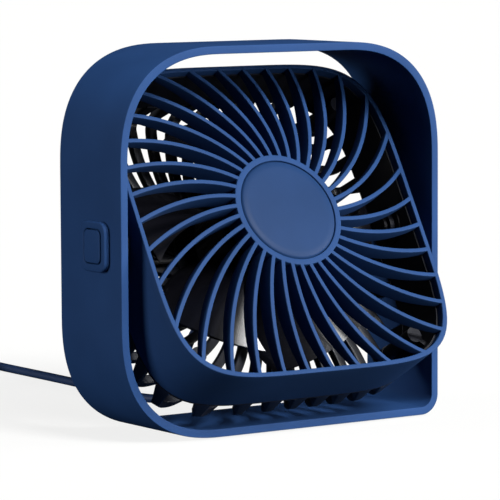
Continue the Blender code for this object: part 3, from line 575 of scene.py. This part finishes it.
def front_ribs(material):
    """Rim, centre ring and spiral ribs of the front grille."""
    shape = bmesh.new()
    rim = [(0.0, 0.0), (RIM_WIDTH, 0.0), (RIM_WIDTH, -RIM_DEPTH), (0.0, -RIM_DEPTH)]
    head_band(shape, softened(rim, RIM_EDGE, 4, sharp=(2, 3)))
    ring = [
        (RING_RADIUS, DOME_RISE),
        (RING_RADIUS - RING_WALL, DOME_RISE),
        (RING_RADIUS - RING_WALL, -RIM_DEPTH),
        (RING_RADIUS, -RIM_DEPTH),
    ]
    turn(shape, softened(ring, RIM_EDGE, 4), FINE_STEPS)
    for angle in around(FRONT_RIBS):
        sweep(shape, front_rib(FRONT_FIRST_RIB + angle))
    grille = show("front_grille_ribs", shape, material, "head", FRONT)
    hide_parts("front_grille")


def cap(material):
    """The plain, faintly domed disc in the ring, with a plug under it."""
    profile = [
        (AXIS_RADIUS, CAP_FACE - CAP_DEPTH),
        (CAP_RADIUS - CAP_STEP, CAP_FACE - CAP_DEPTH),
        (CAP_RADIUS - CAP_STEP, CAP_FACE - CAP_FLANGE),
        (CAP_RADIUS, CAP_FACE - CAP_FLANGE),
    ]
    profile += [(CAP_RADIUS - inset, CAP_FACE - drop) for inset, drop in CAP_EDGE]
    flat = profile[-1][0]
    for step in range(1, CAP_CROWN_STEPS + 1):
        radius = flat * (1 - step / CAP_CROWN_STEPS)
        height = CAP_FACE + CAP_CROWN - CAP_CROWN_DROP * (radius / CAP_RADIUS) ** 2
        profile.append((max(radius, AXIS_RADIUS), height))
    shape = bmesh.new()
    turn(shape, profile, FINE_STEPS)
    disc = show("cap_disc", shape, material, "head", FRONT)
    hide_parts("centre_cap")


# ---------------------------------------------------------------- head, back


def screw_places():
    """Middles of the four screws, near the head's corners."""
    return [Vector((a * SCREW_PLACE, b * SCREW_PLACE, 0)) for a in (1, -1) for b in (1, -1)]


def screw_seats(shape, radius, low, high):
    """Add a boss at each screw and the web that joins it to the head's corner."""
    for place in screw_places():
        loops = []
        for height in (low, high):
            loop = []
            for angle in around(BOSS_STEPS):
                spoke = Vector((math.cos(angle), math.sin(angle), 0)) * radius
                loop.append(place + spoke + Vector((0, 0, height)))
            loops.append(loop)
        stitch(shape, loops, closed=False)
        outward = place.normalized()
        across = Vector((-outward.y, outward.x, 0)) * WEB_THICKNESS / 2
        reach = squircle_reach(HEAD_HALF, math.atan2(place.y, place.x))
        start, end = place + outward * WEB_START, outward * (reach - SHELL_WALL / 2)
        corners = [start - across, end - across, end + across, start + across]
        loops = []
        for height in (low + WEB_LOW, high - WEB_HIGH):
            loops.append([corner + Vector((0, 0, height)) for corner in corners])
        stitch(shape, loops, closed=False)


def edge_share(x, y):
    """How far round the back's edge a point lies: 0 on the flat back and 1 at the side."""
    level = (abs(x) ** HEAD_POWER + abs(y) ** HEAD_POWER) ** (1 / HEAD_POWER)
    return min(max((level - (HEAD_HALF - REAR_EDGE)) / REAR_EDGE, 0.0), 1.0)


def rear_surface(x, y):
    """Depth of the rear grille's outside below a point of its front view."""
    share = edge_share(x, y)
    crown = REAR_CROWN * max(0.0, 1 - math.hypot(x, y) / REAR_CROWN_REACH)
    return HEAD_DEPTH - REAR_EDGE * (1 - math.sqrt(1 - share * share)) + crown


def rear_outward(place, on_side):
    """The direction that the rear grille's surface faces at a point."""
    steepness = HEAD_POWER - 1
    in_plane = Vector((signed_power(place.x, steepness), signed_power(place.y, steepness), 0)).normalized()
    share = edge_share(place.x, place.y)
    if on_side or share > REAR_SIDE_SHARE:
        return in_plane
    return in_plane * share - Vector((0, 0, 1)) * math.sqrt(1 - share * share)


def rear_rib(first):
    """Sections along one rear rib: hub, back face, rounded edge and side."""
    start = REAR_HUB - REAR_RIB_ROOT
    end, last_angle = spiral_end(first, REAR_SWEEP, REAR_HUB, HEAD_HALF)
    path = []
    for step in range(REAR_RIB_STEPS + 1):
        t = step / REAR_RIB_STEPS
        radius = start + (end - start) * (1 - (1 - t) ** REAR_RIB_CROWDING)
        angle = first + REAR_SWEEP * (radius - REAR_HUB)
        x, y = radius * math.cos(angle), radius * math.sin(angle)
        path.append((Vector((x, y, -rear_surface(x, y))), REAR_RIB_WIDTH))
    side_start, side_end = HEAD_DEPTH - REAR_EDGE, SHELL_BACK + REAR_SIDE_STOP
    for step in range(1, REAR_SIDE_STEPS + 1):
        depth = side_start + (side_end - side_start) * step / REAR_SIDE_STEPS
        foot = max(0.0, (REAR_FOOT_END - depth) / (REAR_FOOT_END - side_end))
        angle = last_angle + REAR_FOOT_TURN * foot
        reach = squircle_reach(HEAD_HALF, angle)
        width = REAR_RIB_WIDTH + (REAR_RIB_FOOT - REAR_RIB_WIDTH) * foot
        path.append((Vector((reach * math.cos(angle), reach * math.sin(angle), -depth)), width))
    stations = []
    for step, (middle, width) in enumerate(path):
        ahead = path[min(step + 1, len(path) - 1)][0] - path[max(step - 1, 0)][0]
        outward = rear_outward(middle, step > REAR_RIB_STEPS)
        side = outward.cross(ahead).normalized()
        section = rib_section(width, REAR_WALL, REAR_RIB_EDGE)
        stations.append((middle, side, outward, section))
    return stations


def rear_ribs(material):
    """Front ring, centre ring, spiral ribs and screw seats of the rear grille, with a thin black sheet
    inside the head's side wall as painted shade.
    """
    shape = bmesh.new()
    ring_back = REAR_FRONT - REAR_RING_DEPTH
    ring = [
        (0.0, REAR_FRONT),
        (0.0, ring_back),
        (REAR_RING_WIDTH, ring_back),
        (REAR_RING_WIDTH, REAR_FRONT),
    ]
    head_band(shape, softened(ring, REAR_RING_EDGE, 3))
    back = -HEAD_DEPTH - REAR_CROWN
    hub = [
        (REAR_HUB + REAR_HUB_LIP, back + REAR_HUB_EDGE),
        (REAR_HUB + REAR_HUB_LIP, back + REAR_WALL),
        (REAR_HUB - REAR_HUB_WIDTH, back + REAR_WALL),
        (REAR_HUB - REAR_HUB_WIDTH, back),
        (REAR_HUB - REAR_HUB_EDGE, back),
    ]
    turn(shape, softened(hub, REAR_HUB_EDGE, 3), ROUND_STEPS)
    for angle in around(REAR_RIBS):
        sweep(shape, rear_rib(REAR_FIRST_RIB + angle))
    screw_seats(shape, EAR_RADIUS, REAR_FRONT - EAR_THICKNESS, REAR_FRONT)
    screw_seats(shape, SCREW_BOSS, REAR_FRONT, REAR_FRONT + BOSS_LENGTH)
    # Painted shade: a thin black sheet along the inside of the side wall darkens the inside of the head.
    shade_sheet = [
        (SHELL_WALL + SEAM, REAR_FRONT),
        (SHELL_WALL + SHADE_SHEET, REAR_FRONT),
        (RIM_WIDTH + SHADE_SHEET, SHADE_SHEET_FRONT),
        (RIM_WIDTH + SEAM, SHADE_SHEET_FRONT),
    ]
    head_band(shape, shade_sheet)
    grille = show("rear_grille_ribs", shape, material, "head", FRONT)
    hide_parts("rear_grille")


# ---------------------------------------------------------------- impeller


def blade_row(radius, share, first):
    """One blade's closed section at a radius; share is 0 at the root and 1 at the tip."""
    span = BLADE_SPAN * (BLADE_ROOT_SPAN + BLADE_WIDENING * share - BLADE_TIP_TRIM * share**3)
    lead = first + BLADE_SWEEP * share**BLADE_SWEEP_POWER
    rise = (BLADE_BACK - BLADE_FRONT) * (1 - BLADE_FLATTENING * share)
    front, back = [], []
    for chord in range(BLADE_CHORDS + 1):
        along = chord / BLADE_CHORDS
        angle = lead + span * (along - 0.5)
        bow = math.sin(math.pi * along)
        depth = (BLADE_FRONT + BLADE_BACK) / 2 - rise * (along - 0.5) - BLADE_CAMBER * bow
        thick = BLADE_THICKNESS * (BLADE_THIN_EDGE + (1 - BLADE_THIN_EDGE) * bow**0.5) / 2
        x, y = radius * math.cos(angle), radius * math.sin(angle)
        front.append((x, y, -depth + thick))
        back.append((x, y, -depth - thick))
    return front + back[::-1]


def impeller(material):
    """A cup-shaped hub with smooth, twisted blades."""
    shape = bmesh.new()
    root = HUB_RADIUS - BLADE_ROOT
    for turned in around(BLADES):
        loops = []
        for station in range(BLADE_STATIONS + 1):
            share = station / BLADE_STATIONS
            loops.append(blade_row(root + (BLADE_TIP - root) * share, share, BLADE_PHASE + turned))
        stitch(shape, loops, closed=False)
    hub = [
        (AXIS_RADIUS, -HUB_FRONT + HUB_CROWN),
        (HUB_RADIUS - HUB_CROWN_STOP, -HUB_FRONT),
        (HUB_RADIUS, -HUB_FRONT),
        (HUB_RADIUS, -HUB_BACK),
        (HUB_BORE, -HUB_BACK),
        (HUB_BORE, -HUB_FLOOR),
        (SHAFT_POCKET, -HUB_FLOOR),
        (SHAFT_POCKET, -SHAFT_POCKET_END),
        (AXIS_RADIUS, -SHAFT_POCKET_END),
    ]
    turn(shape, softened(hub, HUB_EDGE, 5), ROUND_STEPS)
    wheel = show("impeller_wheel", shape, material, "rotor", FRONT, 50)
    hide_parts("impeller")


# ---------------------------------------------------------------- lead


def path_length(path):
    """Length along a row of points."""
    return sum((b - a).length for a, b in zip(path, path[1:]))


def smooth_route(points, spacing):
    """Evenly spaced points on a Catmull-Rom curve through given ones."""
    ends = [2 * Vector(points[0]) - Vector(points[1])]
    ends += [Vector(point) for point in points]
    ends += [2 * ends[-1] - ends[-2]]
    dense = []
    for a, b, c, d in zip(ends, ends[1:], ends[2:], ends[3:]):
        for step in range(ROUTE_STEPS):
            t = step / ROUTE_STEPS
            dense.append(
                0.5 * (2 * b + (c - a) * t + (2 * a - 5 * b + 4 * c - d) * t**2)
                + 0.5 * (3 * b - a - 3 * c + d) * t**3
            )
    dense.append(ends[-2])
    length = path_length(dense)
    count = max(2, round(length / spacing))
    even = [dense[0]]
    walked = 0.0
    for a, b in zip(dense, dense[1:]):
        step = (b - a).length
        while len(even) < count and walked + step >= length * len(even) / count:
            share = (length * len(even) / count - walked) / step
            even.append(a.lerp(b, share))
        walked += step
    even.append(dense[-1])
    return even


def coil_points():
    """Turns side by side in two layers: inwards below, then outwards above."""
    radii = list(COIL_RADII) + list(reversed(COIL_RADII))
    low, high = COIL_LAYERS
    heights = [low] * len(COIL_RADII) + [high] * len(COIL_RADII)
    last = len(radii) - 1
    stop = last * COIL_STEPS + round(COIL_STEPS * (math.pi / 2 - COIL_START) / (2 * math.pi))
    points = []
    for step in range(stop + 1):
        at = step / COIL_STEPS
        angle = COIL_START + 2 * math.pi * at
        whole = min(int(at), last)
        following = min(whole + 1, last)
        crossed = max(0.0, (at - whole - (1 - COIL_CROSSING)) / COIL_CROSSING)
        ease = crossed * crossed * (3 - 2 * crossed)
        radius = radii[whole] + (radii[following] - radii[whole]) * ease
        height = heights[whole] + (heights[following] - heights[whole]) * ease
        x = COIL_MIDDLE[0] + radius * math.cos(angle)
        y = COIL_MIDDLE[1] + radius * math.sin(angle)
        points.append((x, y, height))
    return points


def lead_path():
    """The whole route: drop and run, coil, and tail to the plug."""
    points = CORD_ROUTE + coil_points()[1:]
    last = Vector(points[-1])
    end = Vector(TAIL_END)
    points += [tuple(last.lerp(end, share)) for share in TAIL_SHARES]
    points.append(TAIL_END)
    return smooth_route(points, CORD_SPACING)


def lead(material):
    """One continuous cord from the strain relief to the plug's sleeve."""
    path = lead_path()
    shape = bmesh.new()
    side = Vector((1, 0, 0))
    loops = []
    for index, middle in enumerate(path):
        ahead = (path[min(index + 1, len(path) - 1)] - path[max(index - 1, 0)]).normalized()
        side = (side - ahead * side.dot(ahead)).normalized()
        up = ahead.cross(side)
        loop = []
        for angle in around(CORD_SIDES):
            loop.append(middle + (side * math.cos(angle) + up * math.sin(angle)) * CORD / 2)
        loops.append(loop)
    stitch(shape, loops, closed=False)
    cord = new_piece("usb_lead", shape, material, 50)
    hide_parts("cord_drop", "cord_run", "cord_coil", "cord_tail")
    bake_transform(cord)


# ---------------------------------------------------------------- stage


def stage():
    """White paper floor that looks bright but throws little light back up."""
    bpy.ops.mesh.primitive_plane_add(size=FLOOR_SIZE, location=FLOOR_MIDDLE)
    floor = bpy.context.object
    floor.name = "floor"
    material = bpy.data.materials.new("floor_paper")
    material.use_nodes = True
    tree = material.node_tree
    dim = tree.nodes["Principled BSDF"]
    dim.inputs["Base Color"].default_value = (*FLOOR_BOUNCE, 1)
    dim.inputs["Roughness"].default_value = FLOOR_ROUGHNESS
    dim.inputs["Specular IOR Level"].default_value = 0.0
    paper = tree.nodes.new("ShaderNodeBsdfDiffuse")
    paper.inputs["Color"].default_value = (*FLOOR_PAPER, 1)
    glow = tree.nodes.new("ShaderNodeEmission")
    glow.inputs["Color"].default_value = (*FLOOR_GLOW, 1)
    both = tree.nodes.new("ShaderNodeAddShader")
    choice = tree.nodes.new("ShaderNodeMixShader")
    ray = tree.nodes.new("ShaderNodeLightPath")
    link(tree, paper.outputs["BSDF"], both.inputs[0])
    link(tree, glow.outputs["Emission"], both.inputs[1])
    link(tree, ray.outputs["Is Camera Ray"], choice.inputs["Fac"])
    link(tree, dim.outputs["BSDF"], choice.inputs[1])
    link(tree, both.outputs["Shader"], choice.inputs[2])
    link(tree, choice.outputs["Shader"], tree.nodes["Material Output"].inputs["Surface"])
    floor.data.materials.append(material)


def distant(name, azimuth, elevation, spread, power):
    """Even light from far away; azimuth is 0 at the front and grows to the right."""
    data = bpy.data.lights.new(name, "SUN")
    data.energy = power
    data.angle = math.radians(spread)
    lamp = bpy.data.objects.new(name, data)
    bpy.context.scene.collection.objects.link(lamp)
    aside, up = math.radians(azimuth), math.radians(elevation)
    towards = Vector((math.sin(aside) * math.cos(up), -math.cos(aside) * math.cos(up), math.sin(up)))
    lamp.rotation_euler = (-towards).to_track_quat("-Z", "Y").to_euler()


def sky():
    """Faint even light from everywhere."""
    world = bpy.data.worlds.new("studio")
    bpy.context.scene.world = world
    world.use_nodes = True
    world.node_tree.nodes["Background"].inputs["Color"].default_value = (1, 1, 1, 1)
    world.node_tree.nodes["Background"].inputs["Strength"].default_value = SKY_STRENGTH


def camera():
    """A long lens that looks right and a little down at the fan, with a slight roll."""
    data = bpy.data.cameras.new("camera")
    data.lens = CAMERA_LENS
    data.sensor_width = CAMERA_SENSOR
    data.clip_start, data.clip_end = CAMERA_CLIP
    eye = bpy.data.objects.new("camera", data)
    bpy.context.scene.collection.objects.link(eye)
    level = Vector((math.cos(CAMERA_TURN), -math.sin(CAMERA_TURN), 0))
    ahead = Vector((math.sin(CAMERA_TURN), math.cos(CAMERA_TURN), 0))
    forward = ahead * math.cos(CAMERA_DIP) - Vector((0, 0, 1)) * math.sin(CAMERA_DIP)
    up = level.cross(forward)
    right = level * math.cos(CAMERA_ROLL) + up * math.sin(CAMERA_ROLL)
    top = up * math.cos(CAMERA_ROLL) - level * math.sin(CAMERA_ROLL)
    matrix = Matrix((right, top, -forward)).transposed().to_4x4()
    matrix.translation = Vector(CAMERA_PLACE)
    eye.matrix_world = matrix
    bpy.context.scene.camera = eye


# ---------------------------------------------------------------- scene


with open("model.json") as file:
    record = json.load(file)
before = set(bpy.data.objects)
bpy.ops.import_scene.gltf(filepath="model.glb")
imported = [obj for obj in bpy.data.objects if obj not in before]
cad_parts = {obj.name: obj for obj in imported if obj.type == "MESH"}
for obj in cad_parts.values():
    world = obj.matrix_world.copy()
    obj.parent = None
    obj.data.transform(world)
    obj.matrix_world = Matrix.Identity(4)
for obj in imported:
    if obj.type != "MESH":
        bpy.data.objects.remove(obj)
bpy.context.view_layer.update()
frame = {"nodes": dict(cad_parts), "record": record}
camera()
stage()
sky()
for light in LIGHTS:
    distant(*light)
bpy.context.scene.view_settings.view_transform = "Standard"

NAVY = moulded("navy", (0.0165, 0.0500, 0.150), 0.55, level=0.07)
# Painted shade: the head's navy is a darker copy of the stand's navy, so the head looks shaded.
SHADED_HEAD_NAVY = moulded("shaded_head_navy", (0.0150, 0.0440, 0.130), 0.55, level=0.07)
CAP = moulded("cap_navy", (0.0098, 0.0305, 0.091), 0.50, level=0.10)
BLACK = moulded("black", (0.004, 0.005, 0.010), 0.42, level=0.35)
GLOSS = moulded("gloss_black", (0.004, 0.004, 0.006), 0.22, mottle=0.04)
JACKET = moulded("cord_jacket", (0.014, 0.036, 0.105), 0.5, grain=0.0005)
SLOTS = {
    "navy_plastic": NAVY,
    "black_plastic": BLACK,
    "blade_plastic": GLOSS,
    "cord_jacket": JACKET,
    "rubber": moulded("rubber", (0.012, 0.012, 0.014), 0.75, grain=0.0004, relief=0.00005),
    "steel": moulded("steel", (0.55, 0.56, 0.58), 0.32, metallic=1.0, mottle=0.12),
    "blackened_steel": moulded("dark_steel", (0.03, 0.03, 0.033), 0.4, metallic=1.0, mottle=0.12),
    "copper": moulded("copper", (0.60, 0.26, 0.12), 0.35, metallic=1.0, grain=0.0003),
    "ferrite": moulded("ferrite", (0.03, 0.03, 0.034), 0.6, relief=0.00006),
    "circuit_board": moulded("board", (0.02, 0.12, 0.06), 0.4, mottle=0.2),
    "nylon": moulded("nylon", (0.62, 0.62, 0.58), 0.5),
}
for row in frame["record"]["subparts"]:
    node = frame["nodes"][row["node"]]
    node.data.materials.clear()
    node.data.materials.append(SLOTS[row["material_slot"]])

stand_band(NAVY)
button_collar(NAVY)
button_key(NAVY)
blank_cover(NAVY)
shell_band(SHADED_HEAD_NAVY)
front_ribs(SHADED_HEAD_NAVY)
cap(CAP)
rear_ribs(BLACK)
impeller(GLOSS)
lead(JACKET)
